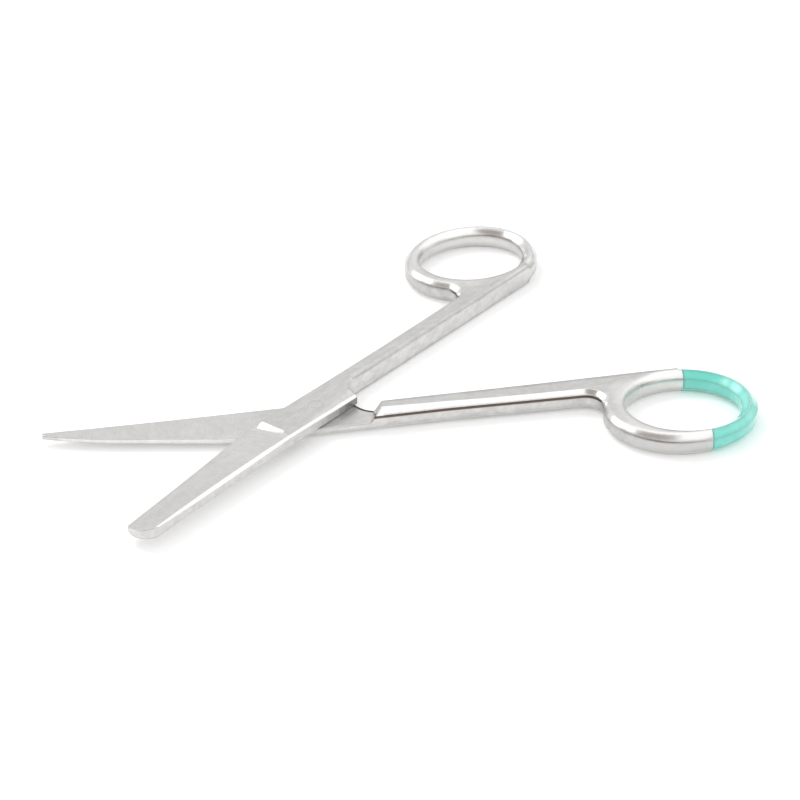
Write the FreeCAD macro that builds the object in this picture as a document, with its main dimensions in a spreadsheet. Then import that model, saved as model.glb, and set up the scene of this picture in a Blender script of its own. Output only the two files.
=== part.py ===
import FreeCAD, Part
import math
import os
import Sketcher

# Surgical scissors, sharp and blunt points, 145 mm long when closed, lying open on a table.
# Millimetres, +Z up. The origin is on the pivot's axis, in the plane the scissors rest on.
# +X runs along the middle of the opening, towards the finger rings.
#
# Each half is drawn the way the lower one lies: its own X runs from the pivot to the ring,
# its ring is on the -Y side, its outer face is at z = 0 and its lap face looks up.
# The upper half is the same forging turned over, with a blunt blade.

doc = FreeCAD.newDocument("SurgicalScissors")
sheet = doc.addObject("Spreadsheet::Sheet", "Sizes")

SIZES = [
    # the pair
    ("handle_height", 5.1),      # joint, shank roots and rings, over both halves
    ("lap_height", 2.38),        # the lower half's share of the joint
    ("lap_gap", 0.06),           # running clearance between the two lap faces
    ("rest_opening", 40.0),      # degrees between the halves as they lie
    # finger rings
    ("ring_reach", 73.25),       # pivot to the middle of the ring, along the half
    ("ring_rise", 0.3),          # how far its outside passes the shank's inner side
    ("ring_length", 32.3),       # outside
    ("ring_width", 27.84),       # outside
    ("ring_wall", 3.25),
    ("ring_lean", 7.6),          # degrees that the ring's long axis turns
    ("web_bevel", 0.2),          # bevel of the finger hole where it meets the shank
    ("sharp_hole_short", 1.1),   # how much the finger hole falls short at its pivot end
    ("blunt_hole_short", 0.1),
    # shank
    ("shank_start", 8.0),        # pivot to the end of the lap joint
    ("shank_inner", 0.9),        # closing line to the shank's inner side
    ("shank_outer", 5.4),        # closing line to its outer side, at the joint
    ("sharp_root", 6.5),         # the same, where the lower half's runs into the ring
    ("blunt_root", 5.8),
    ("shank_break", 26.0),       # where its outer side starts to lean out
    ("shank_hollow", 0.35),      # how far its faces dip between joint and ring
    ("hollow_front", 14.0),
    ("hollow_past", 1.0),        # from the ring's middle to the rear end of that dip
    ("inner_round", 1.0),        # rounding of the shank's inner edges
    ("edge_bevel", 1.4),         # bevel all round the ring and along the shank's outer side
    ("crotch_radius", 3.5),      # hollow corner between shank and ring
    # lap joint
    ("joint_front", 12.0),
    ("joint_rear", 13.0),
    ("joint_outer", 5.35),
    ("joint_chamfer", 1.1),
    ("facet_width", 1.5),        # soft facet beside the spine, at the back of the joint
    ("facet_drop", 0.35),
    ("lap_relief", 0.3),         # small bevel where the spine meets the lap face
    ("shoulder_reach", 11.5),    # pivot to the shoulder behind the joint
    ("shoulder_turn", 18.4),     # degrees
    ("shoulder_slope", 1.9),     # how far the shoulder leans back over its height
    ("runout_reach", 13.3),      # hollow that ends the joint beside the shank
    ("runout_radius", 4.9),
    ("runout_dip", 0.1),
    # blades
    ("blade_heel", 13.2),        # pivot to the start of the ground blade
    ("blade_end", 55.6),         # pivot to the tip
    ("edge_second", 24.6),       # pivot to the stations between heel and tip
    ("edge_third", 36.0),
    ("edge_fourth", 47.0),
    ("edge_fifth", 52.1),
    ("bevel_run", 0.2),          # how much the cutting bevel leans, per height
    ("bevel_heel", 1.4),         # height of the cutting bevel
    ("bevel_tip", 0.85),
    ("spine_chamfer", 0.5),
    ("chamfer_tip", 0.22),
    ("chamfer_swell", 0.3),      # how much wider it grows between heel and tip
    # closing line to the lower half's cutting edge, at the six stations
    ("sharp_heel", 5.25),
    ("sharp_second", 4.2),
    ("sharp_third", 1.85),
    ("sharp_fourth", -0.72),
    ("sharp_fifth", -2.4),
    ("sharp_tip", -3.75),
    ("sharp_spine", 4.6),        # closing line to its spine, at the heel
    ("sharp_spine_tip", 4.9),
    ("sharp_back_tip", 1.15),    # thickness at the tip
    ("sharp_spine_end", 54.8),   # pivot to the rounding of the tip, at the spine
    ("sharp_edge_end", 55.25),   # the same, at the cutting edge
    ("sharp_nose", 4.35),        # closing line to the foremost point
    # closing line to the upper half's cutting edge, at the six stations
    ("blunt_heel", 5.6),
    ("blunt_second", 4.85),
    ("blunt_third", 3.55),
    ("blunt_fourth", 2.45),
    ("blunt_fifth", 1.95),
    ("blunt_tip", 1.6),
    ("blunt_spine", 4.05),
    ("blunt_spine_tip", 4.9),
    ("blunt_back_tip", 2.3),
    ("blunt_spine_end", 51.9),
    ("blunt_edge_end", 54.5),
    ("blunt_nose", 1.0),
    # pivot screw
    ("screw_size", 3.0),
    ("screw_play", 0.04),        # radial running clearance in the lower half
    ("head_size", 5.4),
    ("head_depth", 1.2),
    ("head_sink", 0.12),         # how far the head lies below the lower half's outer face
    ("slot_width", 0.7),
    ("slot_depth", 0.6),
    # coating on the lower half's ring
    ("coat_thickness", 0.15),
    ("coat_reach", 3.3),         # from the ring's middle to the coating's edge
    ("coat_turn", 3.5),          # degrees that this edge turns from square
]

for row, (alias, amount) in enumerate(SIZES, start=1):
    sheet.set("A%d" % row, alias)
    sheet.set("B%d" % row, str(amount))
    sheet.setAlias("B%d" % row, alias)
doc.recompute()


class Size:
    """A size with its value and the formula that gives it from the sheet's cells."""

    def __init__(self, value, formula):
        self.value = float(value)
        self.formula = formula

    def combined(self, other, sign, work):
        if not isinstance(other, Size):
            other = Size(other, repr(float(other)))
        formula = "(%s %s %s)" % (self.formula, sign, other.formula)
        return Size(work(self.value, other.value), formula)

    def __add__(self, other):
        return self.combined(other, "+", lambda left, right: left + right)

    def __sub__(self, other):
        return self.combined(other, "-", lambda left, right: left - right)

    def __mul__(self, other):
        return self.combined(other, "*", lambda left, right: left * right)

    def __truediv__(self, other):
        return self.combined(other, "/", lambda left, right: left / right)

    def __neg__(self):
        return self * -1


def size(alias):
    return Size(sheet.get(alias), "Sizes." + alias)


def number(alias):
    return float(sheet.get(alias))


ZERO = Size(0, "0")
ONE = Size(1, "1")
HEIGHT = size("handle_height")
UPPER_LAP = HEIGHT - size("lap_height") - size("lap_gap")


def between(first, last, share):
    """The size a share of the way from the first to the last."""
    return first + (last - first) * share


def origin_plane(body, role):
    return [item for item in body.Origin.OriginFeatures if item.Role == role][0]


def new_sketch(body, name, role):
    sketch = body.newObject("Sketcher::SketchObject", name)
    sketch.AttachmentSupport = [(origin_plane(body, role), "")]
    sketch.MapMode = "FlatFace"
    return sketch


def bind(sketch, kind, ends, place):
    """A constraint of a sketch that takes its value from the sheet."""
    bound = sketch.addConstraint(Sketcher.Constraint(kind, *ends, place.value))
    sketch.setExpression("Constraints[%d]" % bound, place.formula)


def bound_polygon(sketch, corners):
    """A closed polygon whose corners are tied to the sheet's cells."""
    count = len(corners)
    points = [FreeCAD.Vector(x.value, y.value, 0) for x, y in corners]
    for index in range(count):
        sketch.addGeometry(Part.LineSegment(points[index], points[(index + 1) % count]))
    for index in range(count):
        sketch.addConstraint(Sketcher.Constraint("Coincident", index, 2, (index + 1) % count, 1))
    for index, (x, y) in enumerate(corners):
        bind(sketch, "DistanceX", (-1, 1, index, 1), x)
        bind(sketch, "DistanceY", (-1, 1, index, 1), y)


def bound_circle(sketch, radius):
    """A circle about the sketch's own origin."""
    flat = FreeCAD.Vector(0, 0, 1)
    sketch.addGeometry(Part.Circle(FreeCAD.Vector(0, 0, 0), flat, radius.value))
    sketch.addConstraint(Sketcher.Constraint("Coincident", 0, 3, -1, 1))
    bind(sketch, "Radius", (0,), radius)


def add_feature(body, kind, name, profile):
    feature = body.newObject("PartDesign::" + kind, name)
    feature.Profile = profile
    return feature


def cut_through(body, name, profile):
    pocket = add_feature(body, "Pocket", name, profile)
    pocket.Type = "ThroughAll"
    pocket.Midplane = True
    return pocket


# Handle: shank and ring are one plate, bevelled round the outside and hollowed a little

LEAN = math.radians(number("ring_lean"))
RING_ACROSS = number("ring_width") / 2 * math.cos(LEAN)
RING_ALONG = number("ring_length") / 2 * math.sin(LEAN)
RING_SPREAD = math.hypot(RING_ACROSS, RING_ALONG)
RING_OFFSET = number("shank_inner") - number("ring_rise") + RING_SPREAD


def leaning_ellipse(shift, half_length, half_width):
    """An ellipse that leans as the ring does, moved along its long axis from the ring's middle."""
    centre = FreeCAD.Vector(
        number("ring_reach") + shift * math.cos(LEAN),
        -RING_OFFSET + shift * math.sin(LEAN),
        0,
    )
    longest = max(half_length, half_width)
    shortest = min(half_length, half_width)
    ellipse = Part.Ellipse(centre, longest, shortest)
    ellipse.AngleXU = LEAN if half_length >= half_width else LEAN + math.pi / 2
    return ellipse


def ring_ellipse(inset):
    """The ring's outside, or an ellipse drawn in from it by the same amount all round."""
    return leaning_ellipse(0, number("ring_length") / 2 - inset, number("ring_width") / 2 - inset)


def hole_ellipse(name, rise, grow):
    """The finger hole at a share of its bevel's height: wide at the tail, narrow at the web."""
    bevel = number("edge_bevel")
    web = number("web_bevel")
    short = number(name + "_hole_short")
    wall = number("ring_wall")
    return leaning_ellipse(
        short / 2 + rise * (bevel - web) / 2,
        number("ring_length") / 2 - wall - short / 2 + rise * (bevel + web) / 2 + grow,
        number("ring_width") / 2 - wall + rise * bevel + grow,
    )


def add_whole(sketch, ellipse):
    """A whole ellipse, drawn as two arcs that meet beside the ring."""
    sketch.addGeometry(Part.ArcOfEllipse(ellipse, -math.pi / 2, math.pi / 2))
    sketch.addGeometry(Part.ArcOfEllipse(ellipse, math.pi / 2, 3 * math.pi / 2))


def bevel_hole(body, name, grow):
    """Both rims of the finger hole, each cut by a leaning cone that runs past its bevel."""
    bevel = number("edge_bevel")
    overrun = number("web_bevel") / 2
    for side, face, inward in (("upper", number("handle_height"), -1), ("lower", 0.0, 1)):
        sections = []
        for end, depth in (("rim", -overrun), ("foot", bevel + overrun)):
            label = "%s_hole_%s_%s" % (body.Label, side, end)
            sketch = new_sketch(body, label, "XY_Plane")
            place = FreeCAD.Vector(0, 0, face + inward * depth)
            sketch.AttachmentOffset = FreeCAD.Placement(place, FreeCAD.Rotation())
            add_whole(sketch, hole_ellipse(name, 1 - depth / bevel, grow))
            sections.append(sketch)
        cone = add_feature(body, "SubtractiveLoft", "%s_hole_%s_bevel" % (body.Label, side), sections[0])
        cone.Sections = sections[1:]
        cone.Ruled = True
    doc.recompute()


def crossing_angle(y, rising):
    """The ellipse's own angle where the ring's outside crosses a line along the half."""
    swing = math.acos((y + RING_OFFSET) / RING_SPREAD)
    middle = math.atan2(RING_ACROSS, RING_ALONG)
    return middle + swing if rising else middle - swing


def make_handle(body, name):
    inner = -number("shank_inner")
    outer = -number("shank_outer")
    root = -number(name + "_root")
    start = number("shank_start")
    around = ring_ellipse(0)
    leave = crossing_angle(inner, False)
    meet = crossing_angle(root, True)
    crotch = around.value(meet)

    outline = new_sketch(body, name + "_handle_outline", "XY_Plane")
    run = [
        around.value(leave),
        FreeCAD.Vector(start, inner, 0),
        FreeCAD.Vector(start, outer, 0),
        FreeCAD.Vector(number("shank_break"), outer, 0),
        crotch,
    ]
    for first, last in zip(run, run[1:]):
        outline.addGeometry(Part.LineSegment(first, last))
    outline.addGeometry(Part.ArcOfEllipse(around, meet, leave + 2 * math.pi))
    plate = add_feature(body, "Pad", name + "_handle", outline)
    plate.setExpression("Length", "Sizes.handle_height")

    doc.recompute()
    hollow_corner = body.newObject("PartDesign::Fillet", name + "_crotch")
    hollow_corner.Base = (plate, [upright_edge_near(plate.Shape, crotch)])
    hollow_corner.setExpression("Radius", "Sizes.crotch_radius")
    doc.recompute()
    bevel = body.newObject("PartDesign::Chamfer", name + "_bevel")
    bevel.Base = (hollow_corner, level_edges(hollow_corner.Shape, inner, start)[1])
    bevel.setExpression("Size", "Sizes.edge_bevel")
    doc.recompute()
    rounding = body.newObject("PartDesign::Fillet", name + "_inner_edges")
    rounding.Base = (bevel, level_edges(bevel.Shape, inner, start)[0])
    rounding.setExpression("Radius", "Sizes.inner_round")
    doc.recompute()

    hole = new_sketch(body, name + "_ring_hole", "XY_Plane")
    add_whole(hole, hole_ellipse(name, 0, 0))
    cut_through(body, name + "_finger_hole", hole)
    bevel_hole(body, name, 0)
    hollow_shank(body, name)


def upright_edge_near(shape, place):
    found = []
    for index, edge in enumerate(shape.Edges, start=1):
        box = edge.BoundBox
        if box.ZLength > number("handle_height") / 2:
            gap = math.hypot(box.Center.x - place.x, box.Center.y - place.y)
            found.append((gap, "Edge%d" % index))
    return min(found)[1]


def level_edges(shape, inner, start):
    """The level edges in two lists: the shank's inner side, and all round the outside."""
    along_inner = []
    along_outer = []
    for index, edge in enumerate(shape.Edges, start=1):
        box = edge.BoundBox
        if box.ZLength > 1e-4 or box.XMax < start + 1e-4:
            continue
        if box.YMin > inner - 1e-3 and box.XMin < start + 1e-4:
            along_inner.append("Edge%d" % index)
        elif box.YMin < inner - 1e-3:
            along_outer.append("Edge%d" % index)
    return along_inner, along_outer


def hollow_shank(body, name):
    """Both faces of the shank dip by a long shallow arc between the joint and the ring."""
    height = number("handle_height")
    front = number("hollow_front")
    rear = number("ring_reach") + number("hollow_past")
    for side, level, inward in (("upper", height, -1), ("lower", 0.0, 1)):
        sketch = new_sketch(body, "%s_hollow_%s" % (name, side), "XZ_Plane")
        first = FreeCAD.Vector(front, level, 0)
        last = FreeCAD.Vector(rear, level, 0)
        deepest = FreeCAD.Vector((front + rear) / 2, level + inward * number("shank_hollow"), 0)
        beyond = level - inward * height
        outside = [last, FreeCAD.Vector(rear, beyond, 0), FreeCAD.Vector(front, beyond, 0), first]
        sketch.addGeometry(Part.Arc(first, deepest, last))
        for start, end in zip(outside, outside[1:]):
            sketch.addGeometry(Part.LineSegment(start, end))
        cut_through(body, "%s_%s_dip" % (name, side), sketch)
    doc.recompute()


# Lap joint and blade: one ruled block down to the heel, then a smooth tapering blade

def cross_section(body, name, x, corners):
    sketch = new_sketch(body, name, "YZ_Plane")
    bound_polygon(sketch, corners)
    sketch.setExpression("AttachmentOffset.Base.z", x.formula)
    return sketch


def joint_section(body, name, x, outer, chamfer, spine, lap, facet, drop):
    edge = spine - size("spine_chamfer")
    relief = size("lap_relief")
    corners = [
        (-outer, lap),
        (-outer, chamfer),
        (chamfer - outer, ZERO),
        (edge - facet, ZERO),
        (edge, drop),
        (spine, drop + size("spine_chamfer")),
        (spine, lap - relief),
        (spine - relief, lap),
    ]
    return cross_section(body, name, x, corners)


def blade_section(body, name, x, edge, spine, lap, back, bevel, chamfer):
    """A blade's section: cutting edge, steep bevel, ground face, chamfered spine, flat lap face."""
    lean = bevel * size("bevel_run")
    low = (lean - edge, lap - bevel)
    high = (spine - chamfer, lap - back)
    near = tuple(between(low[axis], high[axis], 0.1) for axis in (0, 1))
    far = tuple(between(low[axis], high[axis], 0.75) for axis in (0, 1))
    relief = chamfer * size("lap_relief") / size("spine_chamfer")
    corners = [
        (-edge, lap),
        low,
        near,
        far,
        high,
        (spine, lap - back + chamfer),
        (spine, lap - relief),
        (spine - relief, lap),
    ]
    return cross_section(body, name, x, corners)


STATIONS = ("heel", "second", "third", "fourth", "fifth", "tip")


def swell(share):
    """The spine's chamfer is widest halfway along the blade."""
    return size("chamfer_swell") * 4 * share * (ONE - share)


def make_blade(body, name, lap):
    """The lap joint and the blade of one half, named sharp or blunt."""
    spine = size(name + "_spine")
    spine_tip = size(name + "_spine_tip")
    heel = size("blade_heel")
    end = size("blade_end")
    reaches = [heel] + [size("edge_" + station) for station in STATIONS[1:5]] + [end]
    blades = []
    for station, reach in zip(STATIONS, reaches):
        share = (reach - heel) / (end - heel)
        blades.append(blade_section(
            body, "%s_%s_section" % (name, station), -reach,
            size("%s_%s" % (name, station)),
            between(spine, spine_tip, share),
            lap,
            between(lap, size(name + "_back_tip"), share * share),
            between(size("bevel_heel"), size("bevel_tip"), share),
            between(size("spine_chamfer"), size("chamfer_tip"), share) + swell(share),
        ))

    rear = [size("shank_outer"), size("edge_bevel"), spine, lap, size("facet_width"), size("facet_drop")]
    front = [size("joint_outer"), size("joint_chamfer"), spine, lap, size("lap_relief"), ZERO]
    first = joint_section(body, name + "_joint_rear", size("joint_rear"), *rear)
    second = joint_section(body, name + "_joint_middle", size("shank_start"), *rear)
    third = joint_section(body, name + "_joint_front", -size("joint_front"), *front)
    joint = add_feature(body, "AdditiveLoft", name + "_joint", first)
    joint.Sections = [second, third, blades[0]]
    joint.Ruled = True
    doc.recompute()
    blade = add_feature(body, "AdditiveLoft", name + "_blade", blades[0])
    blade.Sections = blades[1:]
    blade.Ruled = False
    doc.recompute()


def cut_shoulder(body, name, lap):
    """Everything over the lap face goes, forward of a shoulder that leans back."""
    sketch = new_sketch(body, name + "_shoulder_outline", "XZ_Plane")
    turn = FreeCAD.Rotation(FreeCAD.Vector(0, 1, 0), -number("shoulder_turn"))
    sketch.AttachmentOffset = FreeCAD.Placement(FreeCAD.Vector(0, 0, 0), turn)
    reach = size("shoulder_reach")
    slope = size("shoulder_slope")
    above = HEIGHT * 2 - lap
    corners = [
        (-reach, lap),
        (reach, lap),
        (reach + slope * 2, above),
        (-reach, above),
    ]
    bound_polygon(sketch, corners)
    cut_through(body, name + "_shoulder", sketch)
    doc.recompute()


def cut_runout(body, name):
    """The hollow that ends the joint beside the shank."""
    sketch = new_sketch(body, name + "_runout_outline", "XY_Plane")
    radius = number("runout_radius")
    across = radius - number("shank_inner") - number("runout_dip")
    centre = FreeCAD.Vector(number("runout_reach"), across, 0)
    sketch.addGeometry(Part.Circle(centre, FreeCAD.Vector(0, 0, 1), radius))
    cut_through(body, name + "_runout", sketch)
    doc.recompute()


def round_end(body, name):
    """The blade ends in one arc from its spine round to its cutting edge."""
    end = number("blade_end")
    spine = number(name + "_spine_tip")
    edge = -number(name + "_tip")
    first = FreeCAD.Vector(-number(name + "_spine_end"), spine, 0)
    foremost = FreeCAD.Vector(-end, number(name + "_nose"), 0)
    last = FreeCAD.Vector(-number(name + "_edge_end"), edge, 0)
    margin = number("handle_height")
    sketch = new_sketch(body, name + "_end_outline", "XY_Plane")
    sketch.addGeometry(Part.Arc(first, foremost, last))
    outside = [
        last,
        FreeCAD.Vector(last.x, edge - margin, 0),
        FreeCAD.Vector(-end - margin, edge - margin, 0),
        FreeCAD.Vector(-end - margin, spine + margin, 0),
        FreeCAD.Vector(first.x, spine + margin, 0),
        first,
    ]
    for start, finish in zip(outside, outside[1:]):
        sketch.addGeometry(Part.LineSegment(start, finish))
    cut_through(body, name + "_end", sketch)
    doc.recompute()


# The lower half, with its countersunk pivot hole

def make_half(label, name, lap):
    body = doc.addObject("PartDesign::Body", label)
    make_handle(body, name)
    make_blade(body, name, lap)
    cut_shoulder(body, name, lap)
    cut_runout(body, name)
    round_end(body, name)
    return body


lower = make_half("lower_forging", "sharp", size("lap_height"))
bore = new_sketch(lower, "sharp_pivot_outline", "XY_Plane")
bound_circle(bore, size("screw_size") / 2 + size("screw_play"))
cut_through(lower, "sharp_pivot_hole", bore)

sink = new_sketch(lower, "sharp_countersink_outline", "XZ_Plane")
head_foot = size("head_sink") + size("head_depth")
head_slope = (size("head_size") - size("screw_size")) / 2 / size("head_depth")
bound_polygon(sink, [
    (ZERO, ZERO),
    (size("head_size") / 2 + size("screw_play") + size("head_sink") * head_slope, ZERO),
    (size("screw_size") / 2 + size("screw_play"), head_foot),
    (ZERO, head_foot),
])
seat = add_feature(lower, "Groove", "sharp_countersink", sink)
seat.ReferenceAxis = (sink, ["V_Axis"])
seat.Angle = 360
doc.recompute()

# The upper half, turned over and laid on top

upper = make_half("upper_half", "blunt", UPPER_LAP)
thread = new_sketch(upper, "blunt_pivot_outline", "XY_Plane")
bound_circle(thread, size("screw_size") / 2)
cut_through(upper, "blunt_pivot_hole", thread)
doc.recompute()
turned_over = FreeCAD.Rotation(FreeCAD.Vector(1, 0, 0), 180)
half_open = FreeCAD.Rotation(FreeCAD.Vector(0, 0, 1), number("rest_opening") / 2)
upper.Placement = FreeCAD.Placement(
    FreeCAD.Vector(0, 0, number("handle_height")),
    half_open.multiply(turned_over),
)

# Pivot screw: head in the lower half's countersink, end flush with the upper half

screw = doc.addObject("PartDesign::Body", "pivot_screw")
profile = new_sketch(screw, "screw_profile", "XZ_Plane")
bound_polygon(profile, [
    (ZERO, size("head_sink")),
    (size("head_size") / 2, size("head_sink")),
    (size("screw_size") / 2, head_foot),
    (size("screw_size") / 2, HEIGHT),
    (ZERO, HEIGHT),
])
turned = add_feature(screw, "Revolution", "screw_turned", profile)
turned.ReferenceAxis = (profile, ["V_Axis"])
turned.Angle = 360
doc.recompute()
slot = new_sketch(screw, "slot_outline", "XZ_Plane")
half_slot = size("slot_width") / 2
slot_top = size("head_sink") + size("slot_depth")
bound_polygon(slot, [
    (-half_slot, -slot_top),
    (half_slot, -slot_top),
    (half_slot, slot_top),
    (-half_slot, slot_top),
])
cut_through(screw, "driver_slot", slot)
doc.recompute()

TAIL_SWEEP = math.radians(110)

# Coating: a thin skin all round the tail of the lower half's ring, flush with the bare metal

skin = number("coat_thickness")
core = doc.addObject("PartDesign::Body", "coated_core")
core_outline = new_sketch(core, "core_outline", "XY_Plane")
core_outline.setExpression("AttachmentOffset.Base.z", "Sizes.coat_thickness")
outside = ring_ellipse(skin)
core_outline.addGeometry(Part.ArcOfEllipse(outside, -TAIL_SWEEP, TAIL_SWEEP))
chord = Part.LineSegment(outside.value(TAIL_SWEEP), outside.value(-TAIL_SWEEP))
core_outline.addGeometry(chord)
core_pad = add_feature(core, "Pad", "core_plate", core_outline)
core_pad.setExpression("Length", "Sizes.handle_height - 2 * Sizes.coat_thickness")
doc.recompute()
rims = sorted(
    (edge.Length, "Edge%d" % index)
    for index, edge in enumerate(core_pad.Shape.Edges, start=1)
    if edge.BoundBox.ZLength < 1e-4
)
core_bevel = core.newObject("PartDesign::Chamfer", "core_bevel")
core_bevel.Base = (core_pad, [label for length, label in rims[-2:]])
core_bevel.setExpression("Size", "Sizes.edge_bevel - 0.59 * Sizes.coat_thickness")
core_hole = new_sketch(core, "core_hole_outline", "XY_Plane")
add_whole(core_hole, hole_ellipse("sharp", 0, skin))
cut_through(core, "core_hole", core_hole)
doc.recompute()
bevel_hole(core, "sharp", skin * math.sqrt(2))

region = doc.addObject("Part::Box", "coated_region")
region.setExpression("Length", "Sizes.ring_length")
region.setExpression("Width", "3 * Sizes.ring_width")
region.setExpression("Height", "3 * Sizes.handle_height")
coat_turn = FreeCAD.Rotation(FreeCAD.Vector(0, 0, 1), -number("coat_turn"))
edge_middle = FreeCAD.Vector(number("ring_reach") + number("coat_reach"), -RING_OFFSET, 0)
half_box = FreeCAD.Vector(0, 1.5 * number("ring_width"), number("handle_height"))
region.Placement = FreeCAD.Placement(edge_middle - coat_turn.multVec(half_box), coat_turn)
shell = doc.addObject("Part::Cut", "coated_shell")
shell.Base = region
shell.Tool = core
coating = doc.addObject("Part::Common", "ring_coating")
coating.Base = lower
coating.Tool = shell
lower_half = doc.addObject("Part::Cut", "lower_half")
lower_half.Base = lower
lower_half.Tool = shell
for piece in (coating, lower_half):
    piece.Placement = FreeCAD.Placement(
        FreeCAD.Vector(0, 0, 0),
        FreeCAD.Rotation(FreeCAD.Vector(0, 0, 1), -number("rest_opening") / 2),
    )
doc.recompute()

# Check every object, then write the four pieces

failed = [
    item.Name for item in doc.Objects
    if "Invalid" in item.State or "Error" in item.State
]
if failed:
    raise RuntimeError("objects that failed: " + ", ".join(failed))

pieces = [lower_half, upper, screw, coating]
for piece in pieces:
    if piece.Shape.isNull() or not piece.Shape.isValid() or len(piece.Shape.Solids) != 1:
        raise RuntimeError("no single valid solid: " + piece.Label)

os.makedirs("parts", exist_ok=True)
for piece in pieces:
    piece.Shape.exportStep("parts/%s.step" % piece.Label)
    box = piece.Shape.BoundBox
    spans = (box.XMin, box.XMax, box.YMin, box.YMax, box.ZMin, box.ZMax)
    print(piece.Label, "volume %.1f" % piece.Shape.Volume, "box", ["%.2f" % span for span in spans])
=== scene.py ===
import math

import bpy
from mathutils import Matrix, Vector

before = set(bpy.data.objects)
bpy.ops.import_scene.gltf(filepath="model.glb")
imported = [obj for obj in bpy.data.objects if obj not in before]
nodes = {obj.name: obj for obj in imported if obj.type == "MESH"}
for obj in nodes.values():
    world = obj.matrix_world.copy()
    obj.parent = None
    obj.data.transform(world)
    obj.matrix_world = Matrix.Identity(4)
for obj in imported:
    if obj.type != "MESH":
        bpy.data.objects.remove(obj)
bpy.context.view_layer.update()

MM = 0.001
HALF_OPEN = math.radians(20)


# Shader maths

MIX_SLOTS = {"RGBA": (6, 7, 2), "VECTOR": (4, 5, 1)}


class Value:
    """A number in a material: sums, products and the rest add Math nodes."""

    def __init__(self, graph, socket):
        self.graph = graph
        self.socket = socket

    def math(self, operation, *items):
        made = self.graph.node("ShaderNodeMath", {"operation": operation})
        for slot, item in zip(made.inputs, items):
            self.graph.feed(slot, item)
        return Value(self.graph, made.outputs[0])

    def __add__(self, other):
        return self.math("ADD", self, other)

    __radd__ = __add__

    def __sub__(self, other):
        return self.math("SUBTRACT", self, other)

    def __rsub__(self, other):
        return self.math("SUBTRACT", other, self)

    def __mul__(self, other):
        return self.math("MULTIPLY", self, other)

    __rmul__ = __mul__

    def absolute(self):
        return self.math("ABSOLUTE", self)

    def at_least(self, other):
        return self.math("MAXIMUM", self, other)

    def root(self):
        return self.math("SQRT", self)

    def rise(self, low, high):
        """0 below low, 1 above high and smooth between; high may be the lower one."""
        flipped = high < low
        made = self.graph.node(
            "ShaderNodeMapRange",
            {"interpolation_type": "SMOOTHSTEP"},
            Value=self,
            From_Min=min(low, high),
            From_Max=max(low, high),
            To_Min=1 if flipped else 0,
            To_Max=0 if flipped else 1,
        )
        return Value(self.graph, made.outputs["Result"])


def distance(along, aside):
    return (along * along + aside * aside).root()


class Graph:
    """A node tree, with one method that adds any node."""

    def __init__(self, tree):
        self.tree = tree

    def node(self, kind, settings=None, **sockets):
        made = self.tree.nodes.new(kind)
        for name, setting in (settings or {}).items():
            setattr(made, name, setting)
        for name, item in sockets.items():
            self.feed(made.inputs[name.replace("_", " ")], item)
        return made

    def feed(self, slot, item):
        if isinstance(item, Value):
            item = item.socket
        if isinstance(item, bpy.types.NodeSocket):
            self.tree.links.new(item, slot)
        else:
            slot.default_value = item

    def value(self, socket):
        return Value(self, socket)

    def parts(self, vector):
        split = self.node("ShaderNodeSeparateXYZ", Vector=vector)
        return [self.value(split.outputs[axis]) for axis in "XYZ"]

    def mix(self, share, first, second):
        return first + (second - first) * share

    def blend(self, kind, share, first, second):
        made = self.node("ShaderNodeMix", {"data_type": kind}, Factor=share)
        first_slot, second_slot, result = MIX_SLOTS[kind]
        self.feed(made.inputs[first_slot], first)
        self.feed(made.inputs[second_slot], second)
        return made.outputs[result]

    def mix_colours(self, share, first, second):
        return self.blend("RGBA", share, first, second)

    def mix_vectors(self, share, first, second):
        return self.blend("VECTOR", share, first, second)

    def seen_rays(self):
        """1 for rays from the camera, and 1 for those that a gloss or a glass sends on."""
        path = self.node("ShaderNodeLightPath")
        camera, glossy, through = (
            self.value(path.outputs[kind])
            for kind in ("Is Camera Ray", "Is Glossy Ray", "Is Transmission Ray")
        )
        return camera, glossy.at_least(through)


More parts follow.
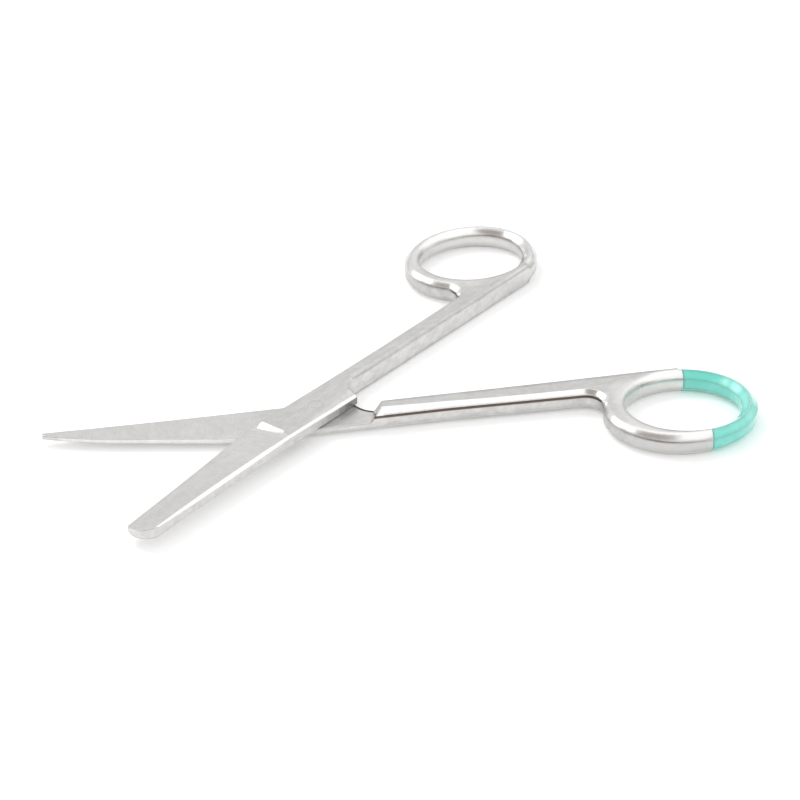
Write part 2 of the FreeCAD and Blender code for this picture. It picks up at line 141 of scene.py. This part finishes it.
class Finish(Graph):
    """A material with one Principled shader, and the pattern nodes that feed it."""

    def __init__(self, name):
        self.material = bpy.data.materials.new(name)
        self.material.use_nodes = True
        super().__init__(self.material.node_tree)
        self.shader = self.tree.nodes["Principled BSDF"]
        self.places = self.node("ShaderNodeTexCoord")

    def set(self, **sockets):
        for name, item in sockets.items():
            self.feed(self.shader.inputs[name.replace("_", " ")], item)

    def along(self, turn, stretch=(1, 1, 1)):
        """Object coordinates turned by an angle about Z and then stretched."""
        turned = self.node(
            "ShaderNodeMapping",
            {"vector_type": "TEXTURE"},
            Vector=self.places.outputs["Object"],
            Rotation=(0, 0, turn),
        )
        return self.node(
            "ShaderNodeMapping",
            {"vector_type": "POINT"},
            Vector=turned.outputs["Vector"],
            Scale=stretch,
        ).outputs["Vector"]

    def noise(self, vector, scale=1.0, detail=3):
        made = self.node(
            "ShaderNodeTexNoise",
            Vector=vector,
            Scale=scale,
            Detail=detail,
            Roughness=NOISE_ROUGHNESS,
        )
        return self.value(made.outputs["Fac"])

    def grey(self, level):
        """Steel's colour from its brightness: a little warm."""
        made = self.node(
            "ShaderNodeCombineColor",
            Red=level,
            Green=level * STEEL_GREEN,
            Blue=level * STEEL_BLUE,
        )
        return made.outputs["Color"]

    def bump(self, height, strength, distance, normal):
        made = self.node(
            "ShaderNodeBump", Strength=strength, Distance=distance, Height=height, Normal=normal
        )
        self.feed(self.shader.inputs["Normal"], made.outputs["Normal"])

    def alike(self, first, second):
        """1 where two directions agree, and less the more they part."""
        made = self.node("ShaderNodeVectorMath", {"operation": "DOT_PRODUCT"})
        self.feed(made.inputs[0], first)
        self.feed(made.inputs[1], second)
        return self.value(made.outputs["Value"])

    def eased(self, radius):
        """The surface's direction, turned smoothly over its edges."""
        made = self.node("ShaderNodeBevel", {"samples": BEVEL_SAMPLES}, Radius=radius)
        return made.outputs["Normal"]


# Steel: satin faces, polished bevels and rings, a ground blade with fine lines across it.
# Places on a half are in mm from the pivot: x runs along it towards its ring, y across it
# towards the side where its ring is, and z up from the table. A pair of numbers says where
# a place begins and from where on it is full.

RING = {"x": 73.25, "y": 14.57, "length": 32.3, "width": 27.84, "lean": math.radians(7.6)}
RING_OUTSIDE = (1.12, 1.0)
RING_HOLE = (0.75, 0.65)
RING_HOLE_EDGE = (0.85, 0.72)
DULL_END = (70.0, 64.0)
WEB_END = (62.0, 58.5)
WEB_STRIP_END = (73.0, 66.0)
WEB_STRIP_SIDE = (5.5, 2.5)

HALF_THICK = 2.55
WALL = (0.3, 0.1)
BEVEL_FROM_WALL = (0.3, 0.5)
BEVEL_FROM_TOP = (0.93, 0.8)
BLADE_START = (-12.2, -13.0)
CUTTING_SIDE = (-3.9, -3.3)
BLUNT_END = (-53.0, -51.0)

SHANK_START = (12.6, 13.4)
INNER_SIDE = (2.5, 1.8)
RING_SIDE = (3.2, 4.2)
LOWER_EDGE_DEPTH = (1.75, 1.45)
SHOULDER = (10.4, 11.0)
LINE_TOP = (1.3, 1.2)
LINE_FOOT = (0.6, 0.8)

LAP_START = (-3.0, 7.0)
LAP_END = (9.4, 8.8)
LAP_SIDE = (-2.5, -3.5)

STROKE = {"x": -13.59, "y": 0.77, "radius": 2.81, "soft": 0.12}
STROKE_SIDE = (-2.9, -2.4)
RUNOUT_START = (-14.6, -14.2)
RUNOUT_END = (-11.2, -11.5)
RUNOUT_DEPTH = (0.9, 1.2)
GROUND_LEVEL = (0.995, 0.975)
BLENDED_LEVEL = (0.75, 0.85)

WHEEL = {"x": 13.3, "y": -3.9, "radius": 4.9}
# The painted shadow line round the wheel's cut: its width, depth, facing and start.
EDGE_SHADOW_WIDTH = (0.75, 0.5)
EDGE_SHADOW_DEPTH = (1.2, 0.9)
EDGE_SHADOW_LEVEL = (0.7, 0.9)
EDGE_SHADOW_START = (7.5, 9.0)

SATIN = 0.6
POLISHED = 0.78
WALL_SATIN = 0.65
INNER_EDGE = 0.57
# Painted shade: the lap's wall, darker where one half stands over the other.
LAP_WALL_PAINTED_SHADE = 0.27
# Painted shadow: the dark line round the wheel's cut.
EDGE_SHADOW_TONE = 0.08
# The ground cutting edge, brightened further by a painted highlight.
CUTTING_EDGE_HIGHLIGHT = 0.96
LOWER_BLADE = 0.63
UPPER_BLADE = 0.68
# Painted dark reflection: the dark line under the shank's bevel, standing for the dim room mirrored
# there.
PAINTED_REFLECTION_BROWN = (0.17, 0.13, 0.11, 1)
STEEL_GREEN = 0.99
STEEL_BLUE = 0.97

NOISE_ROUGHNESS = 0.55
BEVEL_SAMPLES = 8
GRAIN_ALONG = (700, 5000, 5000)
GRAIN_ACROSS = (5200, 420, 2600)
BRUSH_LINES = (260, 1300, 1300)
UPRIGHT_LINES = (1500, 1500, 120)
CLOUD_SCALE = 110.0
MOTTLE_SCALE = 620.0

ROUNDING = 1.6 * MM
EASING = 0.35 * MM
STEEL_RELIEF = 0.03 * MM
STEEL_RELIEF_STRENGTH = 0.12


class Steel(Finish):
    """One half's steel. Turn is the half's own direction, side is 1 where its ring is at +Y,
    and ground is the brightness of its blade."""

    def __init__(self, name, turn, side, ground):
        super().__init__(name)
        x, y, z = self.parts(self.along(turn, (1 / MM, side / MM, 1 / MM)))
        level = self.parts(self.places.outputs["Normal"])[2].absolute()
        height = (z - HALF_THICK).absolute()
        self.wall = level.rise(*WALL)
        self.blade = x.rise(*BLADE_START)
        self.mark_ring(x, y)
        self.mark_shank(x, y, z, height)
        self.mark_joint(x, y, height, level)
        self.mark_runout(x, y, height, level)
        bevel = level.rise(*BEVEL_FROM_WALL) * level.rise(*BEVEL_FROM_TOP) * (1 - self.inner)
        rim = self.ring * (1 - self.web)
        self.polished = bevel.at_least(rim).at_least(self.crescent)
        self.cutting = self.wall * self.blade * y.rise(*CUTTING_SIDE) * x.rise(*BLUNT_END)

        self.draw_patterns(turn)
        shade = 1 + self.shade() * (1 - self.polished * 0.6)
        grey = self.grey(self.tone(ground) * shade)
        # The base colour carries a painted dark reflection line under the shank's bevel.
        self.set(
            Base_Color=self.mix_colours(self.painted_reflection_line, grey, PAINTED_REFLECTION_BROWN),
            Metallic=1.0,
            Roughness=self.roughness(),
        )
        relief = self.grain * 0.6 + self.brushed * 0.5 + self.cloud * 0.4
        self.bump(relief, STEEL_RELIEF_STRENGTH, STEEL_RELIEF, self.directions(side))

    def mark_ring(self, x, y):
        """The ring, its hole's wall and the web between it and the shank."""
        cos, sin = math.cos(RING["lean"]), math.sin(RING["lean"])
        across = x - RING["x"]
        aside = y - RING["y"]
        longwise = (across * cos - aside * sin) * (2 / RING["length"])
        sidewise = (across * sin + aside * cos) * (2 / RING["width"])
        reach = longwise * longwise + sidewise * sidewise
        self.ring = reach.rise(*RING_OUTSIDE)
        strip = x.rise(*WEB_STRIP_END) * y.rise(*WEB_STRIP_SIDE)
        self.web = x.rise(*WEB_END).at_least(strip)
        self.hole = reach.rise(*RING_HOLE) * self.ring
        self.dull = self.ring * reach.rise(*RING_HOLE_EDGE) * x.rise(*DULL_END)

    def mark_shank(self, x, y, z, height):
        """The shank's plain inner side, its rounded lower edge, and a painted dark reflection line
        under its bevel.
        """
        behind = x.rise(*SHANK_START)
        self.inner = behind * y.rise(*INNER_SIDE)
        ring_side = (1 - self.ring) * y.rise(*RING_SIDE)
        self.lower_edge = behind * ring_side * height.rise(*LOWER_EDGE_DEPTH)
        above = z - HALF_THICK
        line = above.rise(*LINE_TOP) * above.rise(*LINE_FOOT)
        self.painted_reflection_line = x.rise(*SHOULDER) * ring_side * line

    def mark_joint(self, x, y, height, level):
        """The lap's wall, painted darker as shade, and a painted shadow line round the cut that the
        wheel left.
        """
        lap = x.rise(*LAP_START) * x.rise(*LAP_END) * y.rise(*LAP_SIDE)
        self.lap_wall = self.wall * lap
        from_wheel = distance(x - WHEEL["x"], y - WHEEL["y"])
        rim = from_wheel.rise(*(WHEEL["radius"] + width for width in EDGE_SHADOW_WIDTH))
        rim = rim * height.rise(*EDGE_SHADOW_DEPTH)
        self.painted_edge_shadow = rim * level.rise(*EDGE_SHADOW_LEVEL) * x.rise(*EDGE_SHADOW_START)

    def mark_runout(self, x, y, height, level):
        """The bright stroke at the blade's root, and the blended face round it."""
        runout = x.rise(*RUNOUT_START) * x.rise(*RUNOUT_END)
        runout = runout * height.rise(*RUNOUT_DEPTH) * (1 - self.wall)
        radius, soft = STROKE["radius"], STROKE["soft"]
        stroke = distance(x - STROKE["x"], y - STROKE["y"]).rise(radius + soft, radius - soft)
        stroke = stroke * y.rise(*STROKE_SIDE)
        self.crescent = runout * stroke * level.rise(*GROUND_LEVEL)
        self.faded = runout * (1 - stroke) * level.rise(*BLENDED_LEVEL)

    def draw_patterns(self, turn):
        along = self.noise(self.along(turn, GRAIN_ALONG), detail=2)
        across = self.noise(self.along(turn, GRAIN_ACROSS), detail=2)
        self.grain = self.mix(self.blade, along, across)
        self.brushed = self.noise(self.along(turn, BRUSH_LINES))
        self.cloud = self.noise(self.along(turn), CLOUD_SCALE, 4)
        self.mottle = self.noise(self.along(turn), MOTTLE_SCALE)
        self.upright = self.noise(self.along(turn, UPRIGHT_LINES), detail=2)

    def tone(self, ground):
        """The steel's brightness at each place."""
        tone = self.mix(self.blade, SATIN, ground)
        tone = self.mix(self.polished, tone, POLISHED - self.ring * 0.04)
        # The ring's walls are painted a little darker, as painted shade for the shadowed table they
        # mirror.
        side = WALL_SATIN - self.ring * 0.08 + self.hole * 0.1 + self.inner * 0.06
        tone = self.mix(self.wall, tone, side)
        tone = self.mix(self.inner * (1 - self.wall), tone, INNER_EDGE)
        # Painted shade: the lap's wall is darker, standing for the shade and dark reflection where
        # the halves overlap.
        tone = self.mix(self.lap_wall, tone, LAP_WALL_PAINTED_SHADE)
        # Painted shadow: a dark line along the edge of the wheel's cut.
        tone = self.mix(self.painted_edge_shadow, tone, EDGE_SHADOW_TONE)
        # The cutting edge's bevel: a ground edge, painted brighter as a highlight.
        return self.mix(self.cutting, tone, CUTTING_EDGE_HIGHLIGHT)

    def shade(self):
        """How much lighter or darker the patterns make the tone."""
        return (
            (self.cloud - 0.5) * 0.16
            + (self.grain - 0.5) * 0.3
            + (self.brushed - 0.5) * (0.3 - self.blade * 0.2)
            + (self.mottle - 0.5) * (0.2 + self.wall.at_least(self.inner) * 0.2)
            + (self.upright - 0.5) * self.lap_wall * 1.2
        )

    def roughness(self):
        satin = 0.34 + self.grain * 0.1 + self.inner * 0.08
        polish = 0.16 + self.cloud * 0.08
        return self.mix(self.polished, satin, polish) + self.dull * 0.2

    def directions(self, side):
        """Crisp edges, rounder on the ring and the shank, and flat where the run-out fades."""
        round_parts = self.ring.at_least(self.lower_edge).at_least(self.inner)
        eased = self.mix_vectors(round_parts, self.eased(EASING), self.eased(ROUNDING))
        return self.mix_vectors(self.faded, eased, (0, 0, side))


# The ring's coating

COATED = 1.0 * MM
COAT_EDGE = 0.5 * MM
COAT_RELIEF = 0.1 * MM
COAT_RELIEF_STRENGTH = 0.2
COAT_ROUGHNESS = 0.03
COAT_CLOUD_SCALE = 170.0
COAT_SPECK_SCALE = 900.0
FLAT_TOP = (0.72, 0.9)
THIN_EDGE = (0.985, 0.94)
DEEP_MINT = (0.2, 0.83, 0.7, 1)
MINT = (0.3, 0.93, 0.81, 1)
# Painted sheen on the coating's flat top.
PAINTED_SHEEN_MINT = (0.45, 0.97, 0.88, 1)
EDGE_MINT = (0.16, 0.5, 0.43, 1)


def mint_coating():
    """Glossy lacquer: paler on the flat top, where a sheen is painted, deeper on the sides, and
    darker along the edges.
    """
    made = Finish("mint_coating")
    cloud = made.noise(made.along(0), COAT_CLOUD_SCALE)
    speck = made.noise(made.along(0), COAT_SPECK_SCALE, 2)
    facing = made.places.outputs["Normal"]
    flat = made.parts(facing)[2].absolute().rise(*FLAT_TOP)
    edge = made.alike(facing, made.eased(COAT_EDGE)).rise(*THIN_EDGE)
    colour = made.mix_colours(cloud.rise(0.35, 0.65), DEEP_MINT, MINT)
    # Painted sheen: the flat top is paler, standing for the lit room reflected there.
    colour = made.mix_colours(flat * (0.6 + cloud * 0.4), colour, PAINTED_SHEEN_MINT)
    colour = made.mix_colours(edge * (0.2 + speck * 0.5), colour, EDGE_MINT)
    made.set(
        Base_Color=colour,
        Roughness=0.14 + cloud * 0.1,
        Coat_Weight=1.0,
        Coat_Roughness=COAT_ROUGHNESS,
    )
    relief = cloud * 0.7 + speck * 0.3
    made.bump(relief, COAT_RELIEF_STRENGTH, COAT_RELIEF, made.eased(COATED))
    return made


def dress(node, finish):
    mesh = nodes[node].data
    if not mesh.materials:
        mesh.materials.append(finish.material)
    for index in range(len(mesh.materials)):
        mesh.materials[index] = finish.material


dress("lower_half", Steel("satin_steel_lower", -HALF_OPEN, -1, LOWER_BLADE))
dress("upper_half", Steel("satin_steel_upper", HALF_OPEN, 1, UPPER_BLADE))
dress("pivot_screw", Steel("satin_steel_screw", HALF_OPEN, 1, UPPER_BLADE))
dress("ring_coating", mint_coating())


# Table, light and camera

TABLE_SIZE = 6
TABLE_GAP = 0.02 * MM
TABLE_SHADE = (0.85, 0.85, 0.85, 1)
WHITE = (1, 1, 1, 1)
TABLE_GLOW = 0.22


def make_table():
    """A pale table, plain white to the camera and in the metal, that keeps the shadow."""
    bpy.ops.object.select_all(action="DESELECT")
    bpy.ops.mesh.primitive_plane_add(size=TABLE_SIZE, location=(0, 0, -TABLE_GAP))
    table = bpy.context.object
    table.name = "table_top"
    material = bpy.data.materials.new("white_table")
    material.use_nodes = True
    material.node_tree.nodes.clear()
    made = Graph(material.node_tree)
    camera, gloss = made.seen_rays()
    seen = camera.at_least(gloss)
    white = made.mix_colours(seen, TABLE_SHADE, WHITE)
    paint = made.node("ShaderNodeBsdfDiffuse", Color=white)
    glow = made.node("ShaderNodeEmission", Strength=seen * TABLE_GLOW)
    surface = made.node("ShaderNodeAddShader")
    for slot, shader in zip(surface.inputs, (paint, glow)):
        made.feed(slot, shader.outputs[0])
    made.node("ShaderNodeOutputMaterial", Surface=surface.outputs[0])
    table.data.materials.append(material)


# Directions in the room, as the metal sees it

AWAY = (0.534, 0.845, 0)
TO_RIGHT = (0.845, -0.534, 0)
DARK_SPOT = (-0.483, -0.129, 0.866)
WINDOW = (-0.481, 0.687, 0.545)
SKYLIGHT = (-0.602, 0.320, 0.731)
ROOM_BROWN = (0.2, 0.165, 0.14, 1)
ROOM_LIGHT = 0.84
ROOM_SEEN = 0.72
HIGHER_LIGHT = 0.21
PANEL_LIGHT = 0.5
WINDOW_LIGHT = 3.0
SKYLIGHT_LIGHT = 2.6
SPOT_DEPTH = 0.7


def make_world():
    """White to the camera, soft light on the object, and a studio with a dim side for the metal."""
    world = bpy.data.worlds.new("studio")
    bpy.context.scene.world = world
    world.use_nodes = True
    made = Graph(world.node_tree)
    background = world.node_tree.nodes["Background"]
    camera, gloss = made.seen_rays()
    east, north, up = made.parts(made.node("ShaderNodeTexCoord").outputs["Generated"])

    def towards(direction):
        return east * direction[0] + north * direction[1] + up * direction[2]

    away = towards(AWAY)
    right = towards(TO_RIGHT)
    spot = towards(DARK_SPOT).rise(0.86, 0.95) * SPOT_DEPTH
    dim = (away.rise(0.3, -0.3) * up.rise(0.58, 0.28)).at_least(spot)
    panel = up.rise(0.55, 0.8).at_least(right.rise(0.3, 0.7) * up.rise(0.15, 0.4))
    seen = ROOM_SEEN + up.rise(0.05, 0.4) * HIGHER_LIGHT + panel * PANEL_LIGHT * (1 - dim)
    seen = seen + towards(WINDOW).rise(0.96, 0.995) * WINDOW_LIGHT
    seen = seen + towards(SKYLIGHT).rise(0.985, 0.998) * SKYLIGHT_LIGHT
    strength = made.mix(camera, made.mix(gloss, ROOM_LIGHT, seen), 1.0)
    made.feed(background.inputs["Color"], made.mix_colours(dim * gloss, WHITE, ROOM_BROWN))
    made.feed(background.inputs["Strength"], strength)


LAMP_PLACE = (-0.17, 0.56, 0.8)
LAMP_SIZE = 0.5
LAMP_WATTS = 2.1


def make_lamp():
    """One soft lamp above and behind, which the metal doesn't mirror."""
    lamp = bpy.data.lights.new("key", "AREA")
    lamp.shape = "DISK"
    lamp.size = LAMP_SIZE
    lamp.energy = LAMP_WATTS
    holder = bpy.data.objects.new("key", lamp)
    bpy.context.scene.collection.objects.link(holder)
    holder.location = LAMP_PLACE
    holder.rotation_mode = "QUATERNION"
    holder.rotation_quaternion = (-Vector(LAMP_PLACE)).to_track_quat("-Z", "Y")
    holder.visible_glossy = False


SENSOR = 36
LENS = 111.855
CAMERA_PLACE = (-0.21840, -0.37758, 0.26473)
CAMERA_DOWN = math.radians(30.691)
CAMERA_TURN = math.radians(-32.299)
NEAR, FAR = 0.01, 50


def make_camera():
    data = bpy.data.cameras.new("camera")
    camera = bpy.data.objects.new("camera", data)
    bpy.context.scene.collection.objects.link(camera)
    data.sensor_width = SENSOR
    data.lens = LENS
    data.clip_start = NEAR
    data.clip_end = FAR
    data.dof.use_dof = False
    camera.location = CAMERA_PLACE
    camera.rotation_euler = (math.pi / 2 - CAMERA_DOWN, 0, CAMERA_TURN)
    bpy.context.scene.camera = camera


make_table()
make_world()
make_lamp()
make_camera()
bpy.context.scene.view_settings.view_transform = "Standard"
